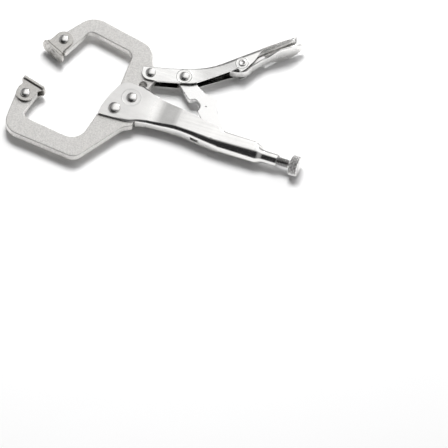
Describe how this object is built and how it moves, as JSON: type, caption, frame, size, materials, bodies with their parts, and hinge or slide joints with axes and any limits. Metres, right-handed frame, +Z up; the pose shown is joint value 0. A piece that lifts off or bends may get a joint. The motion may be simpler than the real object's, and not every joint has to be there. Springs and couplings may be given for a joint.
{
  "type": "locking c clamp",
  "caption": "Nickel-plated locking C clamp with swivel pads, toggle lever, release lever and knurled adjusting screw, shown open and lying on its side.",
  "frame": {"origin": "centre of the underside of the bounding box, the clamp lying on its side", "axes": "+X along the adjusting screw towards its knob, +Z up, square to the plane the jaws move in, +Y from the fixed handle towards the lever"},
  "size_m": [0.1688, 0.12, 0.012],
  "materials": {
    "jaw_nickel": "sand-textured satin nickel plate",
    "handle_nickel": "satin-bright nickel plate",
    "link_nickel": "satin nickel plate",
    "pad_nickel": "satin nickel plate",
    "rivet_steel": "bright nickel plate",
    "screw_steel": "bright nickel plate",
    "spring_wire": "bright spring wire"
  },
  "bodies": {
    "frame": {"fixed_handle": "handle_nickel", "fixed_jaw": "jaw_nickel", "jaw_fixing_rivet": "rivet_steel", "jaw_pivot_rivet": "rivet_steel", "lower_pad_rivet": "rivet_steel", "return_spring": "spring_wire"},
    "jaw": {"moving_jaw": "jaw_nickel", "upper_pad_rivet": "rivet_steel", "lever_pivot_rivet": "rivet_steel"},
    "lever": {"lever": "handle_nickel", "link_pivot_rivet": "rivet_steel", "release_rivet": "rivet_steel"},
    "link": {"toggle_link": "link_nickel"},
    "release": {"release_lever": "link_nickel"},
    "upper_pad": {"upper_pad": "pad_nickel"},
    "lower_pad": {"lower_pad": "pad_nickel"},
    "screw": {"adjusting_screw": "screw_steel"},
    "knob": {"screw_knob": "screw_steel"}
  },
  "joints": [
    {"name": "jaw_hinge", "type": "hinge", "parent": "frame", "child": "jaw", "pos_m": [-0.02057, -0.01172, 0.00599], "axis": [0, 0, 1], "range_deg": [0, 19], "deforming": ["return_spring"]},
    {"name": "lever_hinge", "type": "hinge", "parent": "jaw", "child": "lever", "pos_m": [-0.01617, 0.00778, 0.00599], "axis": [0, 0, 1], "range_deg": [-50, 0]},
    {"name": "link_hinge", "type": "hinge", "parent": "lever", "child": "link", "pos_m": [0.00293, 0.01198, 0.00599], "axis": [0, 0, 1], "range_deg": [0, 45.9]},
    {"name": "release_hinge", "type": "hinge", "parent": "lever", "child": "release", "pos_m": [0.03123, 0.03078, 0.00599], "axis": [0, 0, 1], "range_deg": [0, 4]},
    {"name": "upper_pad_swivel", "type": "hinge", "parent": "jaw", "child": "upper_pad", "pos_m": [-0.07047, 0.01188, 0.00599], "axis": [0, 0, 1], "range_deg": [-15, 15]},
    {"name": "lower_pad_swivel", "type": "hinge", "parent": "frame", "child": "lower_pad", "pos_m": [-0.07887, -0.02952, 0.00599], "axis": [0, 0, 1], "range_deg": [-15, 15]},
    {"name": "screw_travel", "type": "slide", "parent": "frame", "child": "screw", "axis": [1, 0, 0], "range_m": [0, 0.006]},
    {"name": "knob_turn", "type": "hinge", "parent": "screw", "child": "knob", "pos_m": [0.08143, -0.02112, 0.00599], "axis": [1, 0, 0], "range_deg": [0, 2160]}
  ],
  "couplings": [
    {"joint": "jaw_hinge", "follows": "lever_hinge", "ratio": -0.38},
    {"joint": "link_hinge", "follows": "lever_hinge", "ratio": -0.918},
    {"joint": "knob_turn", "follows": "screw_travel", "rad_per_m": 6283.2}
  ]
}
